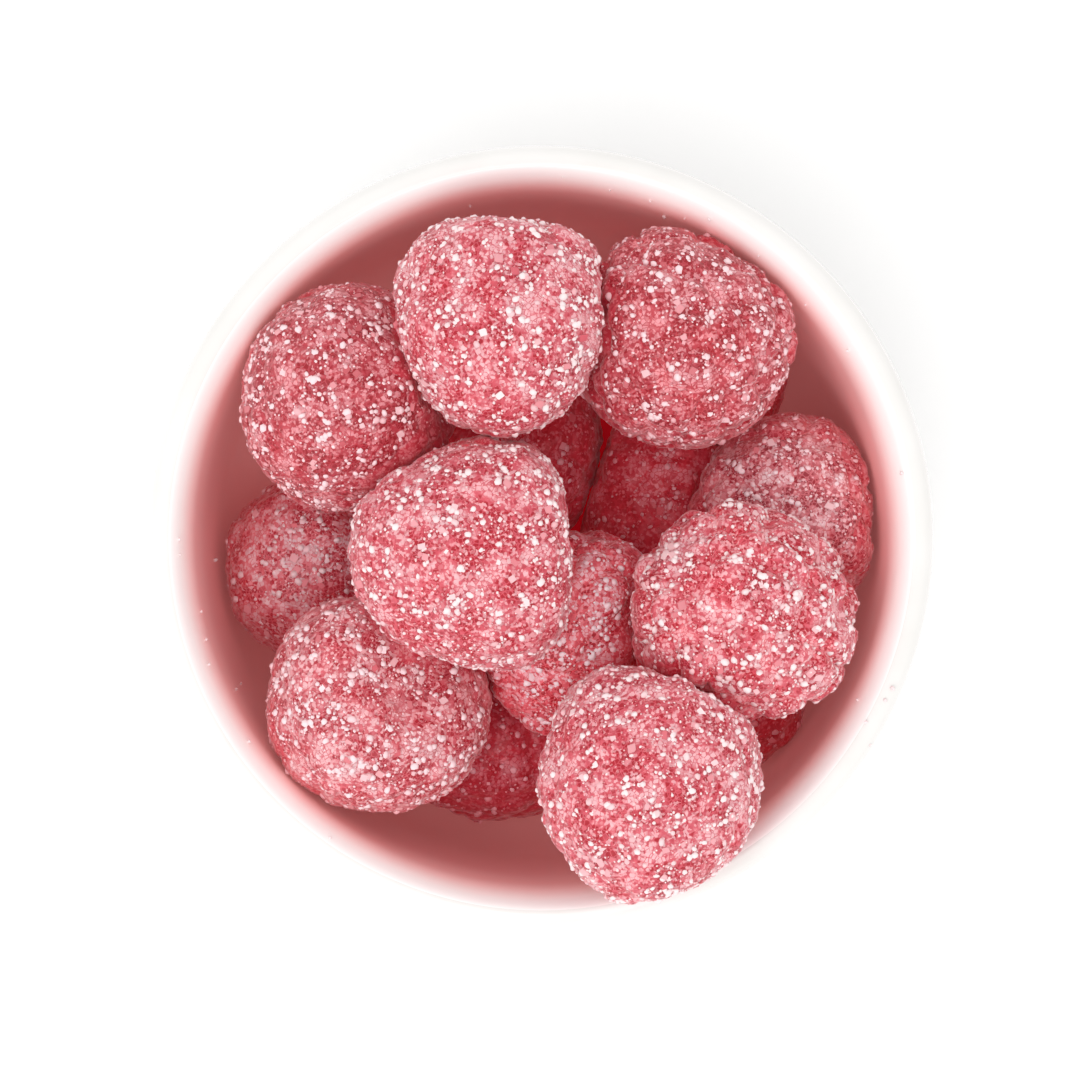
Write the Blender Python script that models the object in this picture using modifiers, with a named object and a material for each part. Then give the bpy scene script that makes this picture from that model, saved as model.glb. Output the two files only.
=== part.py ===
# A small white porcelain bowl heaped with fifteen sugared berry gummies, in metres, with +Z up.
# The origin is the centre of the foot, on the surface that the bowl stands on.
# Each gummy is one solid: a rounded cone with a dimpled base and staggered rows of low drupelets.
# Gummies are soft, so where two of them meet, or one meets the bowl, they are pressed flat there.

import math

import bmesh
import bpy
from mathutils import Matrix, Vector, noise
from mathutils.bvhtree import BVHTree

MM = 0.001

# Driving sizes of the bowl, in millimetres
RIM_RADIUS = 41.0
BOWL_HEIGHT = 40.0
FOOT_RADIUS = 27.5
FOOT_HEIGHT = 2.0
FOOT_RING_WIDTH = 3.6
FOOT_RECESS = 1.4
FOOT_EDGE = 0.7
FLOOR_HEIGHT = 4.4
FLOOR_RADIUS = 26.5
BASIN_RADIUS = 35.4
BASIN_HEIGHT = 14.0
MOUTH_RADIUS = 36.6
LIP_DROP = 6.0
LIP_TOP_INNER_RADIUS = 38.8
LIP_OUTER_ROUNDING = 1.8
LIP_CREST_DROP = 0.05
BELLY_RADIUS = 39.4
BELLY_HEIGHT = 17.0
# How far each bend's corner stands in from, and up or down from, the lines that it joins
BELLY_CORNER_INSET = 1.0
BELLY_CORNER_RISE = 0.8
LIP_CORNER_OUTSET = 0.3
LIP_CORNER_DROP = 1.0
BASIN_CORNER_INSET = 0.7
BOWL_STEPS = 52
BEND_STEPS = 5
LIP_STEPS = 4

# Driving sizes that all gummies share, in millimetres
BASE_DIMPLE = 0.9
DIMPLE_WIDTH_SHARE = 0.55
DRUPELETS_ROUND = 15
GUMMY_SEGMENTS = 2 * DRUPELETS_ROUND
GUMMY_RINGS = 11
UNEVENNESS = 0.9
UNEVENNESS_SIZE = 8.0
UNEVENNESS_STEP = (3.7, 1.9, 0.0)
CONTACT_GAP = 0.4
# Powers that round a gummy's side towards its base and its tip, and that flatten its base
BASE_FULLNESS = 0.76
TIP_FULLNESS = 0.95
BASE_FLATNESS = 0.8
# How soon the drupelets reach their full height away from the base's middle and from the tip
DRUPELET_FADE = 1.6

# One row for each gummy: its name, its middle (right, back, height), the way its tip points round the
# bowl and above level and the spin about its own axis (degrees), its length from base to tip, width and
# thickness, its narrowing towards the tip (share) and the height of its drupelets.
GUMMIES = (
    ("gummy_low_left", (-24.6, -2.2, 14.6), (100, 50, 10), (19.8, 21.4, 20.9), 0.22, 0.40),
    ("gummy_low_front", (-5.6, -21.4, 14.2), (200, 20, 0), (20.5, 20.5, 18.8), 0.20, 0.35),
    ("gummy_low_back", (-3.4, 10.6, 14.2), (100, 15, 0), (21.5, 20.0, 18.8), 0.20, 0.35),
    ("gummy_low_middle", (14.2, 4.6, 14.2), (80, 10, 0), (22.0, 19.5, 18.8), 0.20, 0.40),
    ("gummy_low_back_right", (17.6, 18.8, 14.6), (40, 15, 0), (20.8, 20.4, 19.4), 0.24, 0.40),
    ("gummy_low_front_right", (20.0, -15.6, 14.4), (-60, 15, 0), (20.5, 20.0, 19.0), 0.24, 0.40),
    ("gummy_mid_right", (25.6, 2.0, 24.2), (182, 10, 0), (19.6, 22.8, 19.0), 0.24, 0.35),
    ("gummy_mid_middle", (3.5, -9.5, 27.6), (35, 20, 0), (21.5, 20.0, 19.0), 0.20, 0.45),
    ("gummy_front_left", (-17.6, -17.8, 31.0), (205, -62, 20), (20.5, 23.4, 23.8), 0.20, 0.45),
    ("gummy_back_left", (-21.1, 15.9, 35.2), (130, 52, 5), (21.0, 24.0, 23.6), 0.20, 0.35),
    ("gummy_back_right", (15.0, 20.4, 35.6), (-60, 72, 50), (20.6, 23.3, 24.4), 0.18, 0.70),
    ("gummy_right", (20.9, -7.4, 38.6), (104, 28, 0), (22.6, 24.2, 21.0), 0.16, 0.65),
    ("gummy_centre", (-8.6, -1.7, 40.8), (184, 12, 0), (22.6, 24.6, 19.5), 0.34, 0.30),
    ("gummy_back", (-4.5, 21.1, 41.0), (-92, 24, 0), (22.6, 23.4, 20.0), 0.36, 0.45),
    ("gummy_front", (11.2, -25.8, 43.6), (-98, 14, 0), (24.4, 23.0, 20.0), 0.12, 0.30),
)


def arc_points(centre, radius, start, end, steps):
    """Points of an arc in the section's plane, both ends included, with angles in degrees."""
    angles = [math.radians(start + (end - start) * i / steps) for i in range(steps + 1)]
    return [(centre[0] + radius * math.cos(a), centre[1] + radius * math.sin(a)) for a in angles]


def bend_points(start, corner, end, steps):
    """Points of a smooth bend from start to end that leaves and arrives along lines to the corner."""
    points = []
    for i in range(steps + 1):
        t = i / steps
        shares = ((1 - t) ** 2, 2 * t * (1 - t), t * t)
        across = sum(share * point[0] for share, point in zip(shares, (start, corner, end)))
        up = sum(share * point[1] for share, point in zip(shares, (start, corner, end)))
        points.append((across, up))
    return points


def bowl_section():
    """The bowl's section from the middle of its underside, round the rim, to the middle of its floor."""
    ring_inside = FOOT_RADIUS - FOOT_RING_WIDTH
    underside = [(0.0, FOOT_RECESS), (ring_inside - FOOT_EDGE, FOOT_RECESS)]
    foot = [(ring_inside, 0.0), (FOOT_RADIUS - FOOT_EDGE, 0.0), (FOOT_RADIUS, FOOT_HEIGHT / 2)]
    belly_start = (FOOT_RADIUS + FOOT_EDGE, FOOT_HEIGHT)
    belly_corner = (BELLY_RADIUS - BELLY_CORNER_INSET, FOOT_HEIGHT + BELLY_CORNER_RISE)
    belly = bend_points(belly_start, belly_corner, (BELLY_RADIUS, BELLY_HEIGHT), BEND_STEPS)
    lip_centre = (RIM_RADIUS - LIP_OUTER_ROUNDING, BOWL_HEIGHT - LIP_OUTER_ROUNDING)
    lip = arc_points(lip_centre, LIP_OUTER_ROUNDING, 0, 90, LIP_STEPS)
    lip_start = (LIP_TOP_INNER_RADIUS, BOWL_HEIGHT - LIP_CREST_DROP)
    mouth = (MOUTH_RADIUS, BOWL_HEIGHT - LIP_DROP)
    lip_corner = (MOUTH_RADIUS + LIP_CORNER_OUTSET, BOWL_HEIGHT - LIP_CORNER_DROP)
    inner_lip = bend_points(lip_start, lip_corner, mouth, LIP_STEPS)
    basin_corner = (BASIN_RADIUS - BASIN_CORNER_INSET, FLOOR_HEIGHT)
    basin_edge = (FLOOR_RADIUS, FLOOR_HEIGHT)
    basin = bend_points((BASIN_RADIUS, BASIN_HEIGHT), basin_corner, basin_edge, BEND_STEPS)
    return underside + foot + belly + lip + inner_lip + basin + [(0.0, FLOOR_HEIGHT)]


def material(name, colour, roughness):
    """A Principled material with one colour and roughness."""
    made = bpy.data.materials.new(name)
    made.use_nodes = True
    shader = made.node_tree.nodes["Principled BSDF"]
    shader.inputs["Base Color"].default_value = (*colour, 1.0)
    shader.inputs["Roughness"].default_value = roughness
    shader.inputs["Metallic"].default_value = 0.0
    return made


def make_bowl(home):
    """The bowl, turned from its section with a Screw modifier."""
    mesh = bpy.data.meshes.new("bowl")
    # The section starts at the floor's middle and ends under the foot, so that the turned faces point out.
    points = [(across * MM, 0.0, up * MM) for across, up in reversed(bowl_section())]
    mesh.from_pydata(points, [(i, i + 1) for i in range(len(points) - 1)], [])
    bowl = bpy.data.objects.new("bowl", mesh)
    home.objects.link(bowl)
    turn = bowl.modifiers.new("turn", "SCREW")
    turn.axis = "Z"
    turn.steps = BOWL_STEPS
    turn.render_steps = BOWL_STEPS
    turn.use_merge_vertices = True
    turn.merge_threshold = 0.00001
    turn.use_smooth_shade = True
    mesh.materials.append(material("porcelain", (0.93, 0.90, 0.88), 0.18))
    return bowl


def gummy_point(direction, ring, size, narrowing, drupelet, seed):
    """A gummy's point, in millimetres and with its tip towards +Z, for a direction on the unit sphere."""
    length, width, thickness = size
    rise = max(-1.0, min(1.0, direction.z))
    across = math.hypot(direction.x, direction.y)
    round_angle = math.atan2(direction.y, direction.x)
    fullness = across ** (BASE_FULLNESS if rise < 0 else TIP_FULLNESS)
    girth = fullness * (1 - narrowing * (1 + rise) / 2)
    height = rise * length / 2
    if rise < 0:
        height = -abs(rise) ** BASE_FLATNESS * length / 2
        height += BASE_DIMPLE * max(0.0, 1 - across / DIMPLE_WIDTH_SHARE) ** 2
    right = math.cos(round_angle) * girth * width / 2
    up = math.sin(round_angle) * girth * thickness / 2
    point = Vector((right, up, height))
    offset = seed * Vector(UNEVENNESS_STEP)
    swell = UNEVENNESS * noise.noise(point / UNEVENNESS_SIZE + offset)
    stagger = math.cos(DRUPELETS_ROUND * round_angle) * math.cos(math.pi * ring)
    bump = drupelet * stagger * min(1.0, DRUPELET_FADE * across)
    return point + direction.normalized() * (bump + swell)


def gummy_points(seed, size, narrowing, drupelet):
    """The points and faces of one gummy about its own middle, shaped from a sphere and made to size."""
    built = bmesh.new()
    bmesh.ops.create_uvsphere(built, u_segments=GUMMY_SEGMENTS, v_segments=GUMMY_RINGS, radius=1.0)
    points = []
    for vertex in built.verts:
        ring = round(math.acos(max(-1.0, min(1.0, vertex.co.z))) / math.pi * GUMMY_RINGS)
        points.append(gummy_point(vertex.co, ring, size, narrowing, drupelet, seed))
    faces = [tuple(vertex.index for vertex in face.verts) for face in built.faces]
    built.free()
    for axis, wanted in ((2, size[0]), (0, size[1]), (1, size[2])):
        low = min(point[axis] for point in points)
        high = max(point[axis] for point in points)
        for point in points:
            point[axis] = (point[axis] - (low + high) / 2) * wanted / (high - low) * MM
    return points, faces


def pose(middle, turns):
    """The placing of a gummy: its middle, and the way its tip points with its spin about its own axis."""
    tip_turn, tip_rise, spin = (math.radians(angle) for angle in turns)
    level = math.cos(tip_rise)
    tip = Vector((math.cos(tip_turn) * level, math.sin(tip_turn) * level, math.sin(tip_rise)))
    turned = tip.to_track_quat("Z", "Y").to_matrix().to_4x4()
    return Matrix.Translation(Vector(middle) * MM) @ turned @ Matrix.Rotation(spin, 4, "Z")


def reach(points, middle, way):
    """How far the points reach from a middle, along a direction."""
    return max((point - middle).dot(way) for point in points)


def press_apart(first, second):
    """Press two gummies flat where they meet, each to its own side of a plane between them."""
    trees = [BVHTree.FromPolygons(points, faces) for _, points, faces in (first, second)]
    if not trees[0].overlap(trees[1]):
        nearest = min(trees[1].find_nearest(point)[3] for point in first[1])
        nearest = min(nearest, min(trees[0].find_nearest(point)[3] for point in second[1]))
        if nearest >= CONTACT_GAP * MM:
            return
    between = second[0] - first[0]
    way = between.normalized()
    first_reach = reach(first[1], first[0], way)
    second_reach = reach(second[1], second[0], -way)
    excess = first_reach + second_reach - between.length
    for middle, points, side, own_reach in ((*first[:2], way, first_reach), (*second[:2], -way, second_reach)):
        limit = own_reach - excess / 2 - CONTACT_GAP / 2 * MM
        for point in points:
            beyond = (point - middle).dot(side) - limit
            if beyond > 0:
                point -= side * beyond


def press_into_bowl(middle, points, bowl_tree):
    """Press a gummy flat where it meets the bowl."""
    for point in points:
        way = (point - middle).normalized()
        hit = bowl_tree.ray_cast(middle, way, (point - middle).length)
        if hit[0] is not None:
            point.xyz = hit[0]
        spot, normal, _, _ = bowl_tree.find_nearest(point)
        clear = (point - spot).dot(normal)
        if clear < CONTACT_GAP * MM:
            point += normal * (CONTACT_GAP * MM - clear)


def main():
    for old in list(bpy.data.objects):
        bpy.data.objects.remove(old)
    home = bpy.data.collections.new("sugared_berry_gummies_in_a_bowl")
    bpy.context.scene.collection.children.link(home)

    bowl = make_bowl(home)
    bpy.context.view_layer.update()
    turned = bowl.evaluated_get(bpy.context.evaluated_depsgraph_get()).to_mesh()
    bowl_points = [vertex.co.copy() for vertex in turned.vertices]
    bowl_tree = BVHTree.FromPolygons(bowl_points, [tuple(face.vertices) for face in turned.polygons])

    heap = []
    for seed, (_, middle, turns, size, narrowing, drupelet) in enumerate(GUMMIES, start=1):
        points, faces = gummy_points(seed, size, narrowing, drupelet)
        placed = pose(middle, turns)
        points = [placed @ point for point in points]
        press_into_bowl(Vector(middle) * MM, points, bowl_tree)
        heap.append((Vector(middle) * MM, points, faces))
    for index, first in enumerate(heap):
        for second in heap[index + 1:]:
            press_apart(first, second)

    jelly = material("sugared_jelly", (0.72, 0.22, 0.25), 0.6)
    for (name, *_), (_, points, faces) in zip(GUMMIES, heap):
        mesh = bpy.data.meshes.new(name)
        mesh.from_pydata(points, [], faces)
        mesh.materials.append(jelly)
        mesh.shade_smooth()
        home.objects.link(bpy.data.objects.new(name, mesh))


main()
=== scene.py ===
import math
import random

import bpy
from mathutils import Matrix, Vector
from mathutils.bvhtree import BVHTree
from mathutils.kdtree import KDTree


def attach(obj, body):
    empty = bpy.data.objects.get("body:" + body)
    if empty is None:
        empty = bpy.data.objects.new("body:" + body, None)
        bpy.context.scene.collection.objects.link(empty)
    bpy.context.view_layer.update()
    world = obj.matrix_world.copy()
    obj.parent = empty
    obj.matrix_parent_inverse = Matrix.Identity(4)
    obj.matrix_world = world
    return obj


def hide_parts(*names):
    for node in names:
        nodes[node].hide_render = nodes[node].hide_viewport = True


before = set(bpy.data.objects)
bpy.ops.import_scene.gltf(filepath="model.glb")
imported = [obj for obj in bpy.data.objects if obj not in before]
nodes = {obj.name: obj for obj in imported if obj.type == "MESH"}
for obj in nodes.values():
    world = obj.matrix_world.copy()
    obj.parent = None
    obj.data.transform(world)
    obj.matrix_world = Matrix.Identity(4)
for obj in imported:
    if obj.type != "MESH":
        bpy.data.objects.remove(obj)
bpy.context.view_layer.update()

MM = 0.001

# Sizes, in millimetres

RIM_RADIUS = 41.0
BOWL_HEIGHT = 40.0
FOOT_RADIUS = 27.5
FOOT_HEIGHT = 2.0
FOOT_RING_WIDTH = 3.6
FOOT_RECESS = 1.4
FOOT_EDGE = 0.7
FLOOR_HEIGHT = 4.4
FLOOR_RADIUS = 26.5
BASIN_RADIUS = 35.4
BASIN_HEIGHT = 14.0
MOUTH_RADIUS = 36.6
LIP_DROP = 6.0
LIP_TOP_INNER_RADIUS = 38.8
LIP_OUTER_ROUNDING = 1.8
BELLY_RADIUS = 39.4
BELLY_HEIGHT = 17.0
BOWL_SEGMENTS = 144

# How finely the gummies are rebuilt, the hidden ones less so, and how far the crust lifts their skin
BODY_VOXEL = 0.26
HIDDEN_VOXEL = 0.40
SKIN_RISE = 0.20
# The berry lobes, the shallow dents and the grit of the skin: how wide, and how deep
LOBE_SIZE = 4.8
DENT_SIZE = 5.0
DENT_DEPTH = 0.5
GRIT_SIZE = 1.0
GRIT_DEPTH = 0.25

# The photograph is taken from straight above, 450 mm over the rim, and shows 112.5 mm across there.
CAMERA_HEIGHT = 490.0
PICTURE_WIDTH = 112.5
PICTURE_PIXELS = 1080
BOWL_MIDDLE_PIXEL = (541, 538)
# Pixels of the photograph where single grains lie on the bowl, and how many more are strewn round its wall
LOOSE_GRAIN_PIXELS = (
    (885, 700), (892, 688), (870, 745), (845, 815), (838, 802), (470, 205), (205, 640), (235, 690),
    (240, 684), (214, 560), (248, 742), (330, 838), (610, 190), (858, 700), (866, 722),
)
LOOSE_GRAINS_MORE = 14
LOOSE_GRAIN_SMALLEST = 0.2
LOOSE_GRAIN_LARGEST = 0.5

# Which gummies share one lit or shaded copy of the colours: painted light and shade, paler on top and deeper
# red in the heap
PAINTED_LIGHT_TIERS = {
    "bright": ("gummy_back", "gummy_centre", "gummy_front", "gummy_right"),
    "plain": ("gummy_back_left", "gummy_back_right"),
    "soft": ("gummy_front_left",),
    "dusky": ("gummy_mid_right",),
    "warm": ("gummy_mid_middle",),
    "shaded": ("gummy_low_left",),
    "wine": ("gummy_low_front",),
    "deep": ("gummy_low_back", "gummy_low_middle", "gummy_low_back_right", "gummy_low_front_right"),
}
# Sugar dust makes the gummies paler towards their edges
DUST_SHEEN = 0.35
DUST_ROUGHNESS = 0.45
DUST_COLOUR = (1.0, 0.85, 0.86, 1.0)
# The share of the light round it that a point gets in full shade and in the open. In full shade its colour
# goes this far towards the shaded one, a painted shade, and the jelly has a painted glow this much.
SHADE_REACH = 0.05
OPEN_REACH = 0.42
SHADE_REDNESS = 0.5
SHADE_GLOW = 0.02
# The gummies that other ones cover from above
HIDDEN_GUMMIES = ("gummy_low_front_right", "gummy_low_back_right")
# How deep the creases between the berry lobes are, where they show more than on the others
LOBE_DEPTH = {"gummy_right": 1.0, "gummy_back_right": 0.75, "gummy_mid_middle": 0.8, "gummy_mid_right": 0.6}
PLAIN_LOBE_DEPTH = 0.35

# In how many directions light is looked for, and from which tilts the gummies are looked at, with the number
# of places round the bowl. A face whose normal points down further than the underside bears no sugar.
LIGHT_WAYS = 24
LOOKING_TILTS = ((32, 4), (62, 8))
UNDERSIDE = -0.75
# How far over the skin of the solids the two looks start
GAP_OVER_SKIN = 0.4
GAP_OVER_SEEN_SKIN = 0.1

# Screen colours of each lit or shaded copy, with painted light and shade in them: deep jelly, middling and
# pale crystals, and the whitest grains
LIT_AND_SHADED_PALETTES = {
    "bright": ((168, 20, 38), (204, 83, 96), (230, 172, 177), (241, 222, 223)),
    "plain": ((150, 18, 32), (183, 60, 71), (222, 148, 154), (242, 212, 216)),
    "soft": ((166, 27, 42), (203, 91, 101), (230, 177, 181), (241, 214, 218)),
    "dusky": ((158, 45, 57), (211, 115, 124), (243, 203, 208), (250, 228, 233)),
    "warm": ((180, 24, 40), (230, 98, 110), (248, 198, 206), (252, 236, 241)),
    "shaded": ((176, 42, 56), (228, 130, 140), (249, 226, 232), (252, 244, 247)),
    "wine": ((152, 4, 22), (176, 45, 60), (212, 130, 141), (236, 180, 190)),
    "deep": ((186, 8, 30), (211, 54, 70), (240, 146, 157), (246, 184, 193)),
}
# The painted shade colours they turn to in the shade of the heap
SHADED_JELLY = (214, 58, 74)
SHADED_CLEAR_SUGAR = (230, 104, 116)
SHADED_WHITE_SUGAR = (240, 158, 166)

# The pattern in the jelly: clear crystals, finer bits of sugar, and patches with more or less of both
JELLY_GRAIN = 0.45
JELLY_BIT = 0.27
JELLY_PATCH = 3.0
# How much the crystals and the patches each change the tone, and where that puts the middle of it
CRYSTAL_CONTRAST = 0.8
PATCH_CONTRAST = 3.2
PATCH_SHIFT = -1.5
# How far light spreads in the jelly
JELLY_SCATTER = 3.5

# The three sizes of sugar on the gummies: how thick they lie, their sizes, how far their middles stand off
# the skin as a share of their size (they are under it), how unevenly they are strewn, and how flat they lie
SUGAR = {
    "crystals": dict(per_square_mm=0.5, apart=0.6, smallest=0.35, largest=0.95, sunk=-0.12,
                     clustered=0.6, lying=0.92),
    "fine_sugar": dict(per_square_mm=2.0, apart=0.2, smallest=0.15, largest=0.40, sunk=-0.1,
                       clustered=0.7, lying=0.0),
    "white_grains": dict(per_square_mm=2.2, apart=0.24, smallest=0.20, largest=0.80, sunk=-0.2,
                         clustered=0.9, lying=0.6),
}
SUGAR_SEEDS = {"crystals": 11, "fine_sugar": 31, "white_grains": 51}
SUGAR_PATCH = 2.2
SHADED_SUGAR_SHARE = 0.25
# Small grains outnumber large ones: a size is a random share to this power
SMALL_GRAIN_POWER = 2.8

# The inside glaze from the floor (0) to the lip (1), white with painted reflected red light and painted
# shade in the depth, and the red light from the gummies that lies on it, painted as a glow
PAINTED_BOUNCE_STOPS = (
    (0.0, (252, 188, 186)), (0.55, (252, 192, 190)), (0.80, (252, 204, 202)), (0.905, (250, 222, 220)),
    (0.975, (244, 240, 239)),
)
# Painted glow on the inside wall: emission that stands in for the red light from the gummies
PAINTED_WALL_GLOW_STOPS = (
    (0.0, (0.07, 0.030, 0.029)), (0.60, (0.07, 0.036, 0.035)), (0.80, (0.11, 0.055, 0.052)),
    (0.91, (0.17, 0.085, 0.080)), (0.96, (0.12, 0.075, 0.070)), (0.985, (0.03, 0.01, 0.01)),
    (1.0, (0.0, 0.0, 0.0)),
)
# Under the heap the floor is redder with painted red light and a painted glow, within the first radius
# wholly and past the second not at all
HEAP_RADIUS = 22.0
HEAP_EDGE_RADIUS = 30.0
PAINTED_HEAP_LIGHT_RED = (230, 20, 36)
PAINTED_HEAP_GLOW = (0.10, 0.001, 0.003, 1.0)

# The studio, in metres and watts
TABLE_SIZE = 2.4
SOFTBOX_PLACE = (-0.20, -0.34, 0.70)
SOFTBOX_SIZE = 0.8
SOFTBOX_POWER = 2.2
STUDIO_COLOUR = (1.0, 0.995, 0.99, 1.0)
STUDIO_STRENGTH = 1.1
SENSOR_WIDTH = 36.0


# Working as by hand

def deselect_all():
    if bpy.context.mode != "OBJECT":
        bpy.ops.object.mode_set(mode="OBJECT")
    bpy.ops.object.select_all(action="DESELECT")


def pick(piece):
    """Select one piece alone and make it the active one."""
    deselect_all()
    piece.select_set(True)
    bpy.context.view_layer.objects.active = piece
    return piece


def edit(piece):
    pick(piece)
    bpy.ops.object.mode_set(mode="EDIT")
    bpy.ops.mesh.select_all(action="SELECT")


def done():
    bpy.ops.object.mode_set(mode="OBJECT")


def new_primitive(name):
    """Name the primitive that was just added."""
    piece = bpy.context.active_object
    piece.name = name
    piece.data.name = name
    return piece


def finish_with(piece, kind, **settings):
    """Add a modifier with its settings, and apply it."""
    pick(piece)
    modifier = piece.modifiers.new(kind.lower(), kind)
    for key, value in settings.items():
        setattr(modifier, key, value)
    bpy.ops.object.modifier_apply(modifier=modifier.name)


def copy_of(piece, name):
    """A copy with its own mesh."""
    made = bpy.data.objects.new(name, piece.data.copy())
    made.data.name = name
    bpy.context.scene.collection.objects.link(made)
    return made


def joined(pieces, name):
    """Several pieces made one."""
    pick(pieces[0])
    for piece in pieces[1:]:
        piece.select_set(True)
    bpy.ops.object.join()
    return new_primitive(name)


def discard(piece):
    bpy.data.objects.remove(piece)


# Node trees for materials

def link(tree, source, target):
    tree.links.new(source, target)


def node(tree, kind, at=(0, 0), **settings):
    made = tree.nodes.new(kind)
    made.location = at
    for key, value in settings.items():
        setattr(made, key, value)
    return made


def ramp(tree, stops, at=(0, 0)):
    """Colours that run into each other, from stops of a place and a colour."""
    made = node(tree, "ShaderNodeValToRGB", at)
    elements = made.color_ramp.elements
    while len(elements) < len(stops):
        elements.new(0.5)
    for element, (place, colour) in zip(elements, stops):
        element.position = place
        element.color = (*colour, 1.0)
    return made


def srgb(red, green, blue):
    """A screen colour, 0 to 255, as the light value that a material takes."""
    def light(value):
        value /= 255
        return value / 12.92 if value <= 0.04045 else ((value + 0.055) / 1.055) ** 2.4
    return (light(red), light(green), light(blue))


def new_material(name, **plain):
    """A material with its shader; plain numbers go straight onto the shader's sockets."""
    made = bpy.data.materials.new(name)
    made.use_nodes = True
    tree = made.node_tree
    shader = tree.nodes["Principled BSDF"]
    shader.location = (500, 0)
    tree.nodes["Material Output"].location = (800, 0)
    for socket, value in plain.items():
        shader.inputs[socket.replace("_", " ")].default_value = value
    return made, tree, shader


def make_speckle_group():
    """Fine uneven specks, each with a tone of its own and a mask that fades at its edge."""
    group = bpy.data.node_groups.new("fine_specks", "ShaderNodeTree")
    face = group.interface
    for label, value in (("Size", 0.6), ("Softness", 0.5)):
        socket = face.new_socket(label, in_out="INPUT", socket_type="NodeSocketFloat")
        socket.default_value = value
    face.new_socket("Mask", in_out="OUTPUT", socket_type="NodeSocketFloat")
    face.new_socket("Tone", in_out="OUTPUT", socket_type="NodeSocketFloat")
    start = node(group, "NodeGroupInput", (-900, 0))
    end = node(group, "NodeGroupOutput", (500, 0))
    place = node(group, "ShaderNodeTexCoord", (-900, -250))
    rate = node(group, "ShaderNodeMath", (-700, 0), operation="DIVIDE")
    rate.inputs[0].default_value = 1000.0
    link(group, start.outputs["Size"], rate.inputs[1])
    cells = node(group, "ShaderNodeTexVoronoi", (-450, 100), feature="F1")
    cells.inputs["Randomness"].default_value = 1.0
    edges = node(group, "ShaderNodeTexVoronoi", (-450, -250), feature="DISTANCE_TO_EDGE")
    for texture in (cells, edges):
        link(group, place.outputs["Object"], texture.inputs["Vector"])
        link(group, rate.outputs[0], texture.inputs["Scale"])
    apart = node(group, "ShaderNodeSeparateColor", (-200, 100))
    link(group, cells.outputs["Color"], apart.inputs[0])
    rise = node(group, "ShaderNodeMapRange", (-200, -250), interpolation_type="SMOOTHSTEP")
    link(group, edges.outputs["Distance"], rise.inputs["Value"])
    link(group, start.outputs["Softness"], rise.inputs["From Max"])
    link(group, rise.outputs["Result"], end.inputs["Mask"])
    link(group, apart.outputs[0], end.inputs["Tone"])
    return group


def make_shade_group():
    """Painted shade and glow: where little light reaches a piece, its colour is painted redder, as red light
    through the jelly would tint it, and it glows faintly.
    """
    group = bpy.data.node_groups.new("painted_light_through_jelly", "ShaderNodeTree")
    face = group.interface
    for label in ("Color", "Shade Color"):
        face.new_socket(label, in_out="INPUT", socket_type="NodeSocketColor")
    for label in ("Color", "Glow"):
        face.new_socket(label, in_out="OUTPUT", socket_type="NodeSocketColor")
    start = node(group, "NodeGroupInput", (-700, 0))
    end = node(group, "NodeGroupOutput", (300, 0))
    reach = node(group, "ShaderNodeAttribute", (-700, -250), attribute_name="reach")
    for label, at, shaded in (("Color", 0, SHADE_REDNESS), ("Glow", -300, SHADE_GLOW)):
        amount = node(group, "ShaderNodeMapRange", (-400, at - 100))
        amount.inputs["From Min"].default_value = SHADE_REACH
        amount.inputs["From Max"].default_value = OPEN_REACH
        amount.inputs["To Min"].default_value = shaded
        amount.inputs["To Max"].default_value = 0.0
        link(group, reach.outputs["Fac"], amount.inputs["Value"])
        mixed = node(group, "ShaderNodeMix", (0, at), data_type="RGBA")
        mixed.inputs["A"].default_value = (0.0, 0.0, 0.0, 1.0)
        link(group, start.outputs["Shade Color"], mixed.inputs["B"])
        link(group, amount.outputs["Result"], mixed.inputs["Factor"])
        if label == "Color":
            link(group, start.outputs["Color"], mixed.inputs["A"])
        link(group, mixed.outputs["Result"], end.inputs[label])
    return group


def place_group(tree, group, at, **values):
    made = node(tree, "ShaderNodeGroup", at)
    made.node_tree = group
    for label, value in values.items():
        made.inputs[label].default_value = value
    return made


def cloud_noise(tree, size, at, detail=3.0):
    """Soft noise whose features are about size millimetres wide, on object coordinates."""
    place = node(tree, "ShaderNodeTexCoord", (at[0] - 200, at[1]))
    made = node(tree, "ShaderNodeTexNoise", at)
    made.inputs["Scale"].default_value = 1000.0 / size
    made.inputs["Detail"].default_value = detail
    link(tree, place.outputs["Object"], made.inputs["Vector"])
    return made


# Materials

def make_white_glaze():
    """The outside glaze: glossy white, very slightly uneven."""
    made, tree, shader = new_material("white_glaze", Roughness=0.16, Coat_Weight=0.5, Coat_Roughness=0.05)
    cloud = cloud_noise(tree, size=9.0, at=(-300, 0))
    tint = ramp(tree, ((0.3, srgb(224, 222, 219)), (0.7, srgb(230, 228, 226))), (-50, 0))
    link(tree, cloud.outputs["Fac"], tint.inputs["Fac"])
    link(tree, tint.outputs["Color"], shader.inputs["Base Color"])
    return made


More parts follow.
